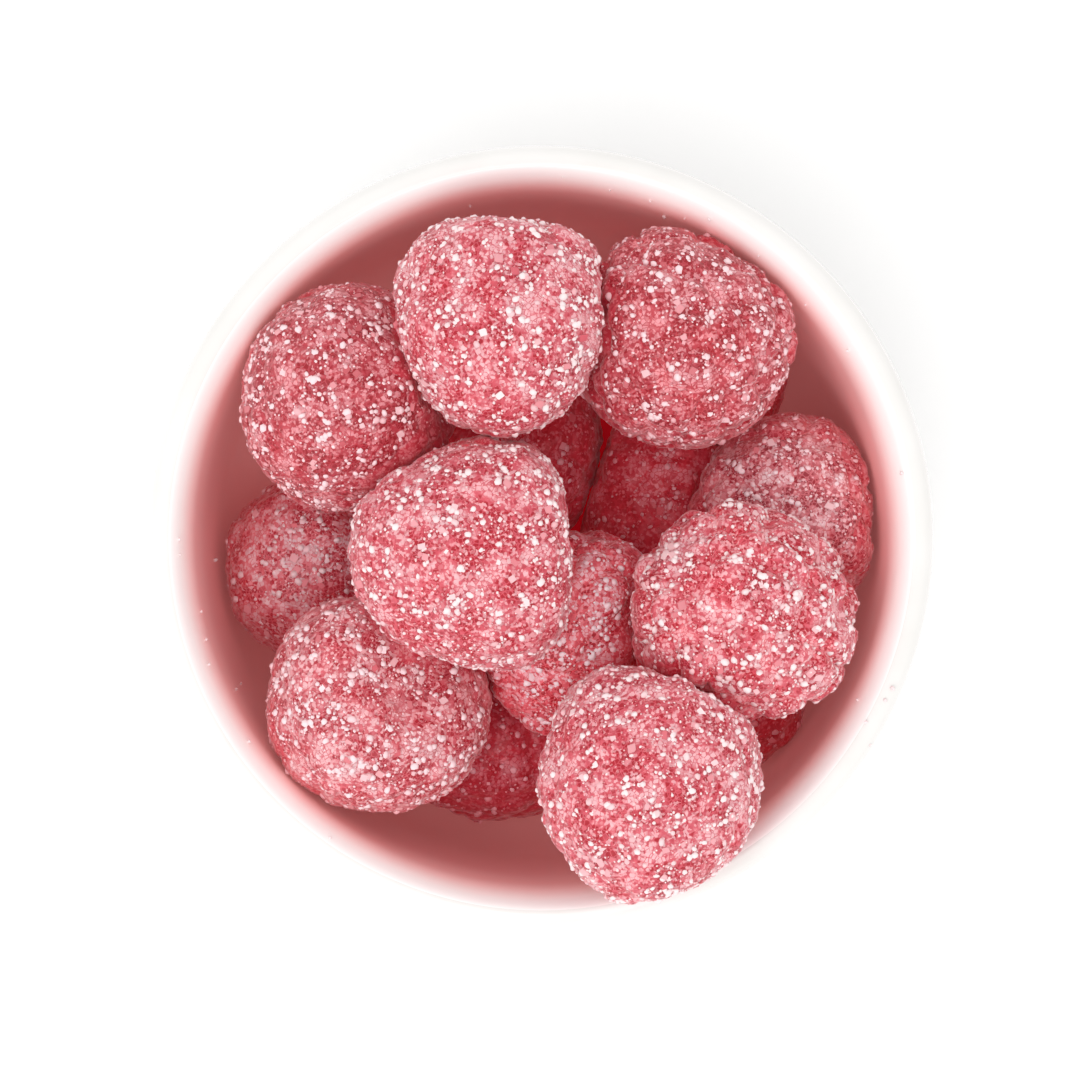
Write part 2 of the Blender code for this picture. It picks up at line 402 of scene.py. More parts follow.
def make_painted_bounce_glaze():
    """The inside glaze, white with painted red reflected light and painted shade: dusty rose in the depth,
    going white towards the lip.
    """
    made, tree, shader = new_material(
        "painted_bounce_glaze", Roughness=0.4, Coat_Roughness=0.15, Specular_IOR_Level=0.15)
    place = node(tree, "ShaderNodeTexCoord", (-1100, 0))
    apart = node(tree, "ShaderNodeSeparateXYZ", (-900, 0))
    link(tree, place.outputs["Object"], apart.inputs[0])
    height = node(tree, "ShaderNodeMapRange", (-700, 0))
    height.inputs["From Min"].default_value = FLOOR_HEIGHT * MM
    height.inputs["From Max"].default_value = BOWL_HEIGHT * MM
    link(tree, apart.outputs["Z"], height.inputs["Value"])
    # A little noise keeps the edge of the rose from running dead level
    cloud = cloud_noise(tree, size=12.0, at=(-700, -300))
    drift = node(tree, "ShaderNodeMath", (-500, -300), operation="MULTIPLY_ADD")
    drift.inputs[1].default_value = 0.06
    drift.inputs[2].default_value = -0.03
    link(tree, cloud.outputs["Fac"], drift.inputs[0])
    total = node(tree, "ShaderNodeMath", (-300, 0), operation="ADD")
    link(tree, height.outputs["Result"], total.inputs[0])
    link(tree, drift.outputs[0], total.inputs[1])
    # Painted reflected red light and painted shade: the rose deepens down the wall of a white glaze
    tint = ramp(tree, [(place, srgb(*colour)) for place, colour in PAINTED_BOUNCE_STOPS], (-50, 0))
    link(tree, total.outputs[0], tint.inputs["Fac"])
    # Dulled by sugar dust in the depth, glossy at the lip
    gloss = node(tree, "ShaderNodeMapRange", (250, -250))
    gloss.inputs["From Min"].default_value = 0.7
    gloss.inputs["From Max"].default_value = 1.0
    gloss.inputs["To Max"].default_value = 0.4
    link(tree, total.outputs[0], gloss.inputs["Value"])
    link(tree, gloss.outputs["Result"], shader.inputs["Coat Weight"])
    # Painted light: red light that comes through the gummies is painted onto the floor under the middle of
    # the heap
    flat = node(tree, "ShaderNodeCombineXYZ", (-700, -550))
    link(tree, apart.outputs["X"], flat.inputs["X"])
    link(tree, apart.outputs["Y"], flat.inputs["Y"])
    across = node(tree, "ShaderNodeVectorMath", (-500, -550), operation="LENGTH")
    link(tree, flat.outputs[0], across.inputs[0])
    under = node(tree, "ShaderNodeMapRange", (-300, -550), interpolation_type="SMOOTHSTEP")
    under.inputs["From Min"].default_value = HEAP_EDGE_RADIUS * MM
    under.inputs["From Max"].default_value = HEAP_RADIUS * MM
    link(tree, across.outputs["Value"], under.inputs["Value"])
    reddened = node(tree, "ShaderNodeMix", (250, 0), data_type="RGBA")
    reddened.inputs["B"].default_value = (*srgb(*PAINTED_HEAP_LIGHT_RED), 1.0)
    link(tree, tint.outputs["Color"], reddened.inputs["A"])
    link(tree, under.outputs["Result"], reddened.inputs["Factor"])
    link(tree, reddened.outputs["Result"], shader.inputs["Base Color"])
    # The same light is painted on the wall as a glow, though the wall is no lamp, and fades out at the lip
    wall_glow = ramp(tree, PAINTED_WALL_GLOW_STOPS, (-50, -800))
    link(tree, height.outputs["Result"], wall_glow.inputs["Fac"])
    glow = node(tree, "ShaderNodeMix", (250, -600), data_type="RGBA")
    glow.inputs["B"].default_value = PAINTED_HEAP_GLOW
    link(tree, wall_glow.outputs["Color"], glow.inputs["A"])
    link(tree, under.outputs["Result"], glow.inputs["Factor"])
    link(tree, glow.outputs["Result"], shader.inputs["Emission Color"])
    shader.inputs["Emission Strength"].default_value = 1.0
    made.cycles.emission_sampling = "NONE"
    return made


def make_bare_foot():
    """The unglazed ring that the bowl stands on."""
    made, tree, shader = new_material("bare_foot_clay", Roughness=0.75)
    cloud = cloud_noise(tree, size=1.2, at=(-300, 0), detail=6.0)
    tint = ramp(tree, ((0.3, srgb(226, 219, 208)), (0.7, srgb(240, 235, 227))), (-50, 0))
    link(tree, cloud.outputs["Fac"], tint.inputs["Fac"])
    link(tree, tint.outputs["Color"], shader.inputs["Base Color"])
    bump = node(tree, "ShaderNodeBump", (200, -250))
    bump.inputs["Strength"].default_value = 0.3
    bump.inputs["Distance"].default_value = 0.1 * MM
    link(tree, cloud.outputs["Fac"], bump.inputs["Height"])
    link(tree, bump.outputs["Normal"], shader.inputs["Normal"])
    return made


def make_jelly(name, specks, through, deep, middle, pale):
    """Gummy seen between and through its crust: a mosaic of clear crystals over the red jelly."""
    made, tree, shader = new_material(
        name, Roughness=0.36, Specular_IOR_Level=0.3,
        Subsurface_Weight=0.8, Subsurface_Scale=JELLY_SCATTER * MM,
        Sheen_Weight=DUST_SHEEN, Sheen_Roughness=DUST_ROUGHNESS, Sheen_Tint=DUST_COLOUR)
    shader.subsurface_method = "BURLEY"
    shader.inputs["Subsurface Radius"].default_value = (1.0, 0.25, 0.25)
    grains = place_group(tree, specks, (-900, 250), Size=JELLY_GRAIN, Softness=0.15)
    bits = place_group(tree, specks, (-900, 0), Size=JELLY_BIT, Softness=0.2)
    patch = cloud_noise(tree, size=JELLY_PATCH, at=(-900, -250), detail=2.0)
    lean = node(tree, "ShaderNodeMath", (-650, 100), operation="MULTIPLY_ADD")
    lean.inputs[1].default_value = PATCH_CONTRAST
    lean.inputs[2].default_value = PATCH_SHIFT
    link(tree, patch.outputs["Fac"], lean.inputs[0])
    tone = node(tree, "ShaderNodeMath", (-450, 250), operation="MULTIPLY_ADD", use_clamp=True)
    tone.inputs[1].default_value = CRYSTAL_CONTRAST
    link(tree, grains.outputs["Tone"], tone.inputs[0])
    link(tree, lean.outputs[0], tone.inputs[2])
    grain_tint = ramp(tree, ((0.0, deep), (0.25, deep), (0.65, middle), (1.0, pale)), (-250, 250))
    link(tree, tone.outputs[0], grain_tint.inputs["Fac"])
    seam = node(tree, "ShaderNodeMix", (50, 250), data_type="RGBA")
    seam.inputs["A"].default_value = (*middle, 1.0)
    link(tree, grain_tint.outputs["Color"], seam.inputs["B"])
    link(tree, grains.outputs["Mask"], seam.inputs["Factor"])
    bit_mask = ramp(
        tree, ((0.70, (0, 0, 0)), (0.82, (0.5, 0.5, 0.5)), (1.0, (0.85, 0.85, 0.85))), (-450, -50))
    link(tree, bits.outputs["Tone"], bit_mask.inputs["Fac"])
    dusted = node(tree, "ShaderNodeMix", (250, 150), data_type="RGBA")
    dusted.inputs["B"].default_value = (*pale, 1.0)
    link(tree, seam.outputs["Result"], dusted.inputs["A"])
    link(tree, bit_mask.outputs["Color"], dusted.inputs["Factor"])
    # Painted shade and painted glow where little light reaches the jelly
    lit = place_group(tree, through, (350, 400))
    lit.inputs["Shade Color"].default_value = (*srgb(*SHADED_JELLY), 1.0)
    link(tree, dusted.outputs["Result"], lit.inputs["Color"])
    link(tree, lit.outputs["Color"], shader.inputs["Base Color"])
    link(tree, lit.outputs["Glow"], shader.inputs["Emission Color"])
    shader.inputs["Emission Strength"].default_value = 1.0
    made.cycles.emission_sampling = "NONE"
    return made


def make_sugar(name, through, stops, roughness, shade):
    """Sugar whose colour differs from one crystal to the next."""
    made, tree, shader = new_material(
        name, Roughness=roughness, Specular_IOR_Level=0.3,
        Sheen_Weight=DUST_SHEEN, Sheen_Roughness=DUST_ROUGHNESS, Sheen_Tint=DUST_COLOUR)
    tone = node(tree, "ShaderNodeAttribute", (-500, 0), attribute_name="shade")
    tint = ramp(tree, stops, (-250, 0))
    link(tree, tone.outputs["Fac"], tint.inputs["Fac"])
    # Painted shade where little light reaches the sugar
    lit = place_group(tree, through, (150, 0))
    lit.inputs["Shade Color"].default_value = (*shade, 1.0)
    link(tree, tint.outputs["Color"], lit.inputs["Color"])
    link(tree, lit.outputs["Color"], shader.inputs["Base Color"])
    return made


def make_floor_material():
    """A plain pale table top."""
    made, tree, shader = new_material("pale_table", Roughness=0.7)
    cloud = cloud_noise(tree, size=60.0, at=(-300, 0))
    tint = ramp(tree, ((0.3, (0.93, 0.93, 0.93)), (0.7, (0.95, 0.95, 0.95))), (-50, 0))
    link(tree, cloud.outputs["Fac"], tint.inputs["Fac"])
    link(tree, tint.outputs["Color"], shader.inputs["Base Color"])
    return made


# The bowl

def arc(centre, radius, start, end, steps):
    """Points on a circle, from one angle in degrees to another."""
    angles = [math.radians(start + (end - start) * i / steps) for i in range(steps + 1)]
    return [(centre[0] + radius * math.cos(a), centre[1] + radius * math.sin(a)) for a in angles]


def bend(start, corner, end, steps):
    """A curve from start to end that is drawn towards the corner."""
    points = []
    for i in range(steps + 1):
        t = i / steps
        shares = ((1 - t) ** 2, 2 * t * (1 - t), t * t)
        points.append(tuple(sum(s * p[k] for s, p in zip(shares, (start, corner, end))) for k in (0, 1)))
    return points


def bowl_section():
    """The section from under the foot, up the outside, over the lip and down to the floor."""
    ring_inside = FOOT_RADIUS - FOOT_RING_WIDTH
    section = [(ring_inside * 0.5, FOOT_RECESS), (ring_inside - FOOT_EDGE - 0.4, FOOT_RECESS)]
    section += bend((ring_inside - FOOT_EDGE, FOOT_RECESS), (ring_inside - 0.1, FOOT_RECESS - 0.1),
                    (ring_inside + 0.1, 0.15), 4)
    section += [(ring_inside + 0.3, 0.0), (FOOT_RADIUS - FOOT_EDGE - 0.2, 0.0)]
    section += bend((FOOT_RADIUS - FOOT_EDGE, 0.02), (FOOT_RADIUS - 0.02, 0.1),
                    (FOOT_RADIUS, FOOT_HEIGHT / 2), 4)
    section += bend((FOOT_RADIUS + 0.15, FOOT_HEIGHT * 0.85), (FOOT_RADIUS + 0.3, FOOT_HEIGHT),
                    (FOOT_RADIUS + FOOT_EDGE, FOOT_HEIGHT + 0.02), 3)
    section += bend((FOOT_RADIUS + FOOT_EDGE + 0.6, FOOT_HEIGHT + 0.05),
                    (BELLY_RADIUS - 1.0, FOOT_HEIGHT + 0.8), (BELLY_RADIUS, BELLY_HEIGHT), 18)
    straight = BOWL_HEIGHT - LIP_OUTER_ROUNDING
    for i in range(1, 5):
        share = i / 5
        section.append((BELLY_RADIUS + (RIM_RADIUS - BELLY_RADIUS) * share,
                        BELLY_HEIGHT + (straight - BELLY_HEIGHT) * share))
    section += arc((RIM_RADIUS - LIP_OUTER_ROUNDING, straight), LIP_OUTER_ROUNDING, 0, 90, 10)
    mouth = (MOUTH_RADIUS, BOWL_HEIGHT - LIP_DROP)
    section += bend((LIP_TOP_INNER_RADIUS, BOWL_HEIGHT - 0.03), (MOUTH_RADIUS + 0.3, BOWL_HEIGHT - 1.0),
                    mouth, 14)
    for i in range(1, 4):
        share = i / 4
        section.append((MOUTH_RADIUS + (BASIN_RADIUS - MOUTH_RADIUS) * share,
                        mouth[1] + (BASIN_HEIGHT - mouth[1]) * share))
    section += bend((BASIN_RADIUS, BASIN_HEIGHT), (BASIN_RADIUS - 0.7, FLOOR_HEIGHT),
                    (FLOOR_RADIUS, FLOOR_HEIGHT), 16)
    section += [(FLOOR_RADIUS * 0.6, FLOOR_HEIGHT), (FLOOR_RADIUS * 0.2, FLOOR_HEIGHT)]
    return section


def make_bowl(outside, inside, bare):
    """Raised ring by ring from a circle under the foot."""
    section = bowl_section()
    radius, height = section[0]
    bpy.ops.mesh.primitive_circle_add(vertices=BOWL_SEGMENTS, radius=radius * MM, fill_type="NOTHING")
    bowl = new_primitive("porcelain_bowl")
    edit(bowl)
    bpy.ops.transform.translate(value=(0, 0, height * MM))
    bpy.ops.mesh.extrude_edges_move()
    bpy.ops.mesh.merge(type="CENTER")
    bpy.ops.mesh.select_all(action="DESELECT")
    bpy.ops.object.mode_set(mode="OBJECT")
    for vertex in bowl.data.vertices:
        vertex.select = vertex.co.xy.length > radius * MM * 0.9
    bpy.ops.object.mode_set(mode="EDIT")
    bpy.ops.mesh.select_mode(type="EDGE")
    bpy.ops.mesh.select_mode(type="VERT")
    for wide, high in section[1:]:
        bpy.ops.mesh.extrude_edges_move(TRANSFORM_OT_translate={"value": (0, 0, (high - height) * MM)})
        share = wide / radius
        bpy.ops.transform.resize(value=(share, share, 1), center_override=(0, 0, high * MM))
        radius, height = wide, high
    bpy.ops.mesh.extrude_edges_move()
    bpy.ops.mesh.merge(type="CENTER")
    bpy.ops.mesh.select_all(action="SELECT")
    bpy.ops.mesh.remove_doubles(threshold=0.000001)
    bpy.ops.mesh.normals_make_consistent(inside=False)
    done()
    bpy.ops.object.shade_smooth()
    for material in (outside, inside, bare):
        bowl.data.materials.append(material)
    lip_middle = RIM_RADIUS - LIP_OUTER_ROUNDING - 0.3
    for face in bowl.data.polygons:
        middle = face.center / MM
        across = middle.xy.length
        if middle.z < 0.12:
            face.material_index = 2
        elif middle.z > FLOOR_HEIGHT - 0.5 and across < lip_middle and (
                face.normal.dot(Vector((middle.x, middle.y, 0))) < 0 or across < FOOT_RADIUS):
            face.material_index = 1
    return bowl


# The gummies

def relief_texture(name, kind, size, **settings):
    texture = bpy.data.textures.new(name, kind)
    texture.noise_scale = size * MM
    for key, value in settings.items():
        setattr(texture, key, value)
    return texture


def surroundings():
    """All solids as one tree, to see what is hidden."""
    points, faces = [], []
    for solid in nodes.values():
        start = len(points)
        points += [vertex.co.copy() for vertex in solid.data.vertices]
        faces += [tuple(start + i for i in face.vertices) for face in solid.data.polygons]
    return BVHTree.FromPolygons(points, faces)


def light_ways(count):
    """Directions spread evenly over the upper half of a sphere."""
    ways = []
    for i in range(count):
        high = (i + 0.5) / count
        turn = i * math.pi * (3 - math.sqrt(5))
        side = math.sqrt(1 - high * high)
        ways.append(Vector((side * math.cos(turn), side * math.sin(turn), high)))
    return ways


def light_reach(solid, tree, ways):
    """The share of the light round each vertex of a solid that gets past the other pieces."""
    places = KDTree(len(solid.data.vertices))
    values = []
    for vertex in solid.data.vertices:
        start = vertex.co + vertex.normal * GAP_OVER_SKIN * MM
        open_share = 0.0
        for way in ways:
            share = way.dot(vertex.normal)
            if share > 0 and tree.ray_cast(start, way)[0] is None:
                open_share += share
        values.append(open_share / len(ways) * 2)
        places.insert(vertex.co, len(values) - 1)
    places.balance()
    return places, values


def keep_reach(body, places, values):
    """Each point of the body takes the reach of the four nearest points of its solid."""
    kept = body.data.attributes.new("reach", "FLOAT", "POINT")
    for vertex, slot in zip(body.data.vertices, kept.data):
        near = places.find_n(vertex.co, 4)
        slot.value = sum(values[number] for _, number, _ in near) / len(near)


def make_gummy(name, jelly, lobes, dents, grit):
    """One gummy over its solid: smoothed, with berry lobes, shallow dents and a gritty skin."""
    body = copy_of(nodes[name], name.replace("gummy", "berry"))
    edit(body)
    bpy.ops.mesh.remove_doubles(threshold=0.00001)
    done()
    voxel = HIDDEN_VOXEL if name in HIDDEN_GUMMIES else BODY_VOXEL
    finish_with(body, "REMESH", mode="VOXEL", voxel_size=voxel * MM, use_smooth_shade=True)
    finish_with(body, "SMOOTH", factor=0.5, iterations=14)
    depth = LOBE_DEPTH.get(name, PLAIN_LOBE_DEPTH)
    finish_with(body, "DISPLACE", texture=lobes, texture_coords="LOCAL", strength=depth * MM, mid_level=1.0)
    finish_with(body, "SMOOTH", factor=0.5, iterations=8)
    finish_with(body, "DISPLACE", texture=dents, texture_coords="LOCAL",
                strength=DENT_DEPTH * MM, mid_level=0.5)
    finish_with(body, "DISPLACE", texture=grit, texture_coords="LOCAL",
                strength=-GRIT_DEPTH * MM, mid_level=0.3)
    finish_with(body, "DISPLACE", texture_coords="LOCAL", strength=SKIN_RISE * MM, mid_level=0.0)
    body.data.materials.clear()
    body.data.materials.append(jelly)
    pick(body)
    bpy.ops.object.shade_smooth()
    return body


def looking_ways():
    """Straight up, and slanting up all round."""
    ways = [Vector((0, 0, 1))]
    for tilt, count in LOOKING_TILTS:
        for i in range(count):
            turn = 2 * math.pi * (i + 0.5) / count
            side = math.sin(math.radians(tilt))
            ways.append(Vector((side * math.cos(turn), side * math.sin(turn), math.cos(math.radians(tilt)))))
    return ways


def seen_ground(bodies, name, tree):
    """The faces of some bodies that can be seen from above or from the side over the rim, as one mesh."""
    ways = looking_ways()
    ground = joined([copy_of(body, name) for body in bodies], name)
    mesh = ground.data
    for face in mesh.polygons:
        face.select = True
        if face.normal.z < UNDERSIDE:
            continue
        skin, out_of_skin, _, _ = tree.find_nearest(face.center)
        start = skin + out_of_skin * GAP_OVER_SEEN_SKIN * MM
        for way in ways:
            if way.dot(face.normal) > 0.05 and tree.ray_cast(start, way)[0] is None:
                face.select = False
                break
    pick(ground)
    for vertex in mesh.vertices:
        vertex.select = False
    bpy.ops.object.mode_set(mode="EDIT")
    bpy.ops.mesh.select_mode(type="FACE")
    bpy.ops.mesh.delete(type="FACE")
    bpy.ops.mesh.select_mode(type="VERT")
    done()
    return ground


# Sugar

def make_plates(count, seed):
    """Flat sugar crystals one unit long: blocks with random corners, two of them cut off."""
    dice = random.Random(seed)
    plates = []
    for i in range(count):
        bpy.ops.mesh.primitive_cube_add(size=1.0)
        plate = new_primitive(f"plate_{seed}_{i}")
        edit(plate)
        bpy.ops.transform.resize(value=(1.0, dice.uniform(0.7, 0.95), dice.uniform(0.3, 0.42)))
        bpy.ops.transform.vertex_random(offset=0.12, seed=seed * 31 + i)
        for _ in range(2):
            way = Vector((dice.choice((-1, 1)), dice.choice((-1, 1)), dice.choice((-1, 1))))
            way = Vector((way.x, way.y * dice.uniform(0.5, 1), way.z * dice.uniform(0.3, 0.8))).normalized()
            bpy.ops.mesh.select_all(action="SELECT")
            bpy.ops.mesh.bisect(
                plane_co=way * dice.uniform(0.42, 0.52), plane_no=way, use_fill=True, clear_outer=True)
        done()
        plates.append(plate)
    return plates


def make_pearls(count, seed):
    """Round grains one unit across, a little uneven."""
    dice = random.Random(seed)
    pearls = []
    for i in range(count):
        bpy.ops.mesh.primitive_cube_add(size=1.0)
        pearl = new_primitive(f"pearl_{seed}_{i}")
        edit(pearl)
        bpy.ops.mesh.subdivide(number_cuts=1)
        bpy.ops.transform.tosphere(value=0.9)
        bpy.ops.transform.resize(value=(1.0, dice.uniform(0.7, 1.0), dice.uniform(0.6, 0.9)))
        bpy.ops.transform.vertex_random(offset=0.11, seed=seed * 17 + i)
        done()
        bpy.ops.object.shade_smooth()
        pearls.append(pearl)
    return pearls


def make_flakes(count, seed):
    """The finest sugar: small eight-sided flakes."""
    dice = random.Random(seed)
    flakes = []
    for i in range(count):
        bpy.ops.mesh.primitive_uv_sphere_add(segments=4, ring_count=2, radius=0.6)
        flake = new_primitive(f"flake_{seed}_{i}")
        edit(flake)
        bpy.ops.transform.resize(value=(1.0, dice.uniform(0.7, 1.0), dice.uniform(0.5, 0.9)))
        bpy.ops.transform.vertex_random(offset=0.08, seed=seed * 13 + i)
        done()
        flakes.append(flake)
    return flakes


def strewing(name, crystals, per_square_mm, apart, smallest, largest, sunk, seed, clustered, lying):
    """A Geometry Nodes tree that strews crystals over a ground and makes them real mesh."""
    holder = bpy.data.collections.new(name + "_crystals")
    for crystal in crystals:
        holder.objects.link(crystal)
    tree = bpy.data.node_groups.new(name, "GeometryNodeTree")
    tree.interface.new_socket("Geometry", in_out="INPUT", socket_type="NodeSocketGeometry")
    tree.interface.new_socket("Geometry", in_out="OUTPUT", socket_type="NodeSocketGeometry")
    start = node(tree, "NodeGroupInput", (-1200, 0))
    end = node(tree, "NodeGroupOutput", (1200, 0))

    spread = node(tree, "GeometryNodeDistributePointsOnFaces", (-900, 0), distribute_method="POISSON")
    spread.inputs["Distance Min"].default_value = apart * MM
    spread.inputs["Density Max"].default_value = per_square_mm * 1e6
    spread.inputs["Seed"].default_value = seed
    link(tree, start.outputs[0], spread.inputs["Mesh"])
    patches = node(tree, "ShaderNodeTexNoise", (-1200, -300))
    patches.inputs["Scale"].default_value = 1000 / SUGAR_PATCH
    patches.inputs["Detail"].default_value = 2.0
    often = node(tree, "ShaderNodeMapRange", (-1050, -300))
    often.inputs["From Min"].default_value = 0.5 - 0.25 * (1.2 - clustered)
    often.inputs["From Max"].default_value = 0.5 + 0.25 * (1.2 - clustered)
    often.inputs["To Min"].default_value = 1.0 - clustered
    often.inputs["To Max"].default_value = 1.0
    link(tree, patches.outputs["Fac"], often.inputs["Value"])
    reach = node(tree, "GeometryNodeInputNamedAttribute", (-1400, -500), data_type="FLOAT")
    reach.inputs["Name"].default_value = "reach"
    fewer = node(tree, "ShaderNodeMapRange", (-1200, -500))
    fewer.inputs["From Min"].default_value = SHADE_REACH
    fewer.inputs["From Max"].default_value = OPEN_REACH
    fewer.inputs["To Min"].default_value = SHADED_SUGAR_SHARE
    link(tree, reach.outputs[0], fewer.inputs["Value"])
    density = node(tree, "ShaderNodeMath", (-1000, -400), operation="MULTIPLY")
    link(tree, often.outputs["Result"], density.inputs[0])
    link(tree, fewer.outputs["Result"], density.inputs[1])
    link(tree, density.outputs[0], spread.inputs["Density Factor"])

    chance = node(tree, "FunctionNodeRandomValue", (-700, -300), data_type="FLOAT")
    chance.inputs["Seed"].default_value = seed + 1
    size = node(tree, "ShaderNodeMapRange", (-500, -300))
    squeeze = node(tree, "ShaderNodeMath", (-600, -450), operation="POWER")
    squeeze.inputs[1].default_value = SMALL_GRAIN_POWER
    link(tree, chance.outputs[1], squeeze.inputs[0])
    link(tree, squeeze.outputs[0], size.inputs["Value"])
    size.inputs["To Min"].default_value = smallest * MM
    size.inputs["To Max"].default_value = largest * MM

    turn = node(tree, "FunctionNodeRandomValue", (-700, -600), data_type="FLOAT_VECTOR")
    turn.inputs["Max"].default_value = (math.tau, math.tau, math.tau)
    turn.inputs["Seed"].default_value = seed + 2

    lay = node(tree, "FunctionNodeAlignRotationToVector", (-500, -600), axis="Z")
    lay.inputs["Factor"].default_value = lying
    link(tree, turn.outputs[0], lay.inputs["Rotation"])
    link(tree, spread.outputs["Normal"], lay.inputs["Vector"])

    bury = node(tree, "ShaderNodeVectorMath", (-300, 200), operation="SCALE")
    link(tree, spread.outputs["Normal"], bury.inputs[0])
    depth = node(tree, "ShaderNodeMath", (-400, 0), operation="MULTIPLY")
    depth.inputs[1].default_value = sunk
    link(tree, size.outputs["Result"], depth.inputs[0])
    link(tree, depth.outputs[0], bury.inputs["Scale"])
    lower = node(tree, "GeometryNodeSetPosition", (-100, 0))
    link(tree, spread.outputs["Points"], lower.inputs["Geometry"])
    link(tree, bury.outputs[0], lower.inputs["Offset"])

    source = node(tree, "GeometryNodeCollectionInfo", (-100, -300))
    source.inputs["Collection"].default_value = holder
    source.inputs["Separate Children"].default_value = True
    source.inputs["Reset Children"].default_value = True
    put = node(tree, "GeometryNodeInstanceOnPoints", (200, 0))
    put.inputs["Pick Instance"].default_value = True
    which = node(tree, "FunctionNodeRandomValue", (0, -500), data_type="INT")
    which.inputs[5].default_value = len(crystals) - 1
    which.inputs["Seed"].default_value = seed + 3
    link(tree, lower.outputs["Geometry"], put.inputs["Points"])
    link(tree, source.outputs[0], put.inputs["Instance"])
    link(tree, which.outputs[2], put.inputs["Instance Index"])
    link(tree, lay.outputs[0], put.inputs["Rotation"])
    link(tree, size.outputs["Result"], put.inputs["Scale"])

    tone = node(tree, "FunctionNodeRandomValue", (400, -300), data_type="FLOAT")
    tone.inputs["Seed"].default_value = seed + 4
    keep = node(tree, "GeometryNodeStoreNamedAttribute", (500, 0), data_type="FLOAT", domain="INSTANCE")
    keep.inputs["Name"].default_value = "shade"
    link(tree, put.outputs["Instances"], keep.inputs["Geometry"])
    link(tree, tone.outputs[1], keep.inputs["Value"])
    real = node(tree, "GeometryNodeRealizeInstances", (800, 0))
    link(tree, keep.outputs["Geometry"], real.inputs["Geometry"])
    link(tree, real.outputs["Geometry"], end.inputs[0])
    return tree, holder


def strew(name, ground, crystals, material, **how):
    """One kind of sugar over a ground, as one piece."""
    piece = copy_of(ground, name)
    tree, holder = strewing(name, crystals, **how)
    finish_with(piece, "NODES", node_group=tree)
    bpy.data.collections.remove(holder)
    piece.data.materials.clear()
    piece.data.materials.append(material)
    for face in piece.data.polygons:
        face.material_index = 0
    return piece


def make_loose_grains(bowl, grains, material):
    """Single grains that have fallen onto the bowl's wall and lip, where the photograph shows them."""
    dice = random.Random(77)
    points = [vertex.co for vertex in bowl.data.vertices]
    tree = BVHTree.FromPolygons(points, [tuple(face.vertices) for face in bowl.data.polygons])
    spots = [pixel_point(*spot) for spot in LOOSE_GRAIN_PIXELS]
    for _ in range(LOOSE_GRAINS_MORE):
        turn = dice.uniform(0, math.tau)
        across = dice.triangular(BASIN_RADIUS, LIP_TOP_INNER_RADIUS, MOUTH_RADIUS) * MM
        spots.append(Vector((across * math.cos(turn), across * math.sin(turn), BOWL_HEIGHT * MM)))
    eye = Vector(camera_place())
    fallen = []
    for number, spot in enumerate(spots):
        hit, out, _, _ = tree.ray_cast(eye, (spot - eye).normalized())
        if hit is None:
            continue
        size = dice.uniform(LOOSE_GRAIN_SMALLEST, LOOSE_GRAIN_LARGEST) * MM
        grain = copy_of(grains[number % len(grains)], f"loose_grain_{number}")
        grain.scale = (size, size, size)
        grain.rotation_euler = [dice.uniform(0, math.tau) for _ in range(3)]
        grain.location = hit + out * size * 0.35
        pick(grain)
        bpy.ops.object.transform_apply(location=True, rotation=True, scale=True)
        fallen.append(grain)
    loose = joined(fallen, "loose_grains")
    for label, amount in (("shade", 0.6), ("reach", 1.0)):
        for slot in loose.data.attributes.new(label, "FLOAT", "POINT").data:
            slot.value = amount
    loose.data.materials.clear()
    loose.data.materials.append(material)
    return loose


# Camera, light and floor

def camera_place():
    """The camera stands straight above the middle of the picture."""
    per_pixel = PICTURE_WIDTH / PICTURE_PIXELS
    right = (PICTURE_PIXELS / 2 - BOWL_MIDDLE_PIXEL[0]) * per_pixel
    up = (BOWL_MIDDLE_PIXEL[1] - PICTURE_PIXELS / 2) * per_pixel
    return (right * MM, up * MM, CAMERA_HEIGHT * MM)


def pixel_point(right, down):
    """The point in the rim's plane that a pixel of the photograph shows."""
    per_pixel = PICTURE_WIDTH / PICTURE_PIXELS
    across = (right - BOWL_MIDDLE_PIXEL[0]) * per_pixel
    back = (BOWL_MIDDLE_PIXEL[1] - down) * per_pixel
    return Vector((across * MM, back * MM, BOWL_HEIGHT * MM))


def make_stage():
    """The table, the camera, a soft lamp and an even white studio round them."""
    bpy.ops.mesh.primitive_plane_add(size=TABLE_SIZE)
    floor = new_primitive("table")
    edit(floor)
    bpy.ops.mesh.subdivide(number_cuts=8)
    done()
    floor.data.materials.append(make_floor_material())

    camera = bpy.data.cameras.new("camera")
    camera.sensor_width = SENSOR_WIDTH
    camera.lens = SENSOR_WIDTH * (CAMERA_HEIGHT - BOWL_HEIGHT) / PICTURE_WIDTH
    camera.clip_start = 0.01
    stand = bpy.data.objects.new("camera", camera)
    bpy.context.scene.collection.objects.link(stand)
    stand.location = camera_place()
    bpy.context.scene.camera = stand

    lamp = bpy.data.lights.new("overhead_softbox", "AREA")
    lamp.shape = "DISK"
    lamp.size = SOFTBOX_SIZE
    lamp.energy = SOFTBOX_POWER
    softbox = bpy.data.objects.new("overhead_softbox", lamp)
    bpy.context.scene.collection.objects.link(softbox)
    softbox.location = SOFTBOX_PLACE
    softbox.rotation_euler = (Vector((0, 0, 1)).rotation_difference(Vector(softbox.location))).to_euler()

    world = bpy.data.worlds.new("studio")
    world.use_nodes = True
    backdrop = world.node_tree.nodes["Background"]
    backdrop.inputs["Color"].default_value = STUDIO_COLOUR
    backdrop.inputs["Strength"].default_value = STUDIO_STRENGTH
    bpy.context.scene.world = world
    bpy.context.scene.view_settings.view_transform = "Standard"


# Putting it together

def on_root(piece):
    """Every piece rides on the one body."""
    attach(piece, "root")
    return piece


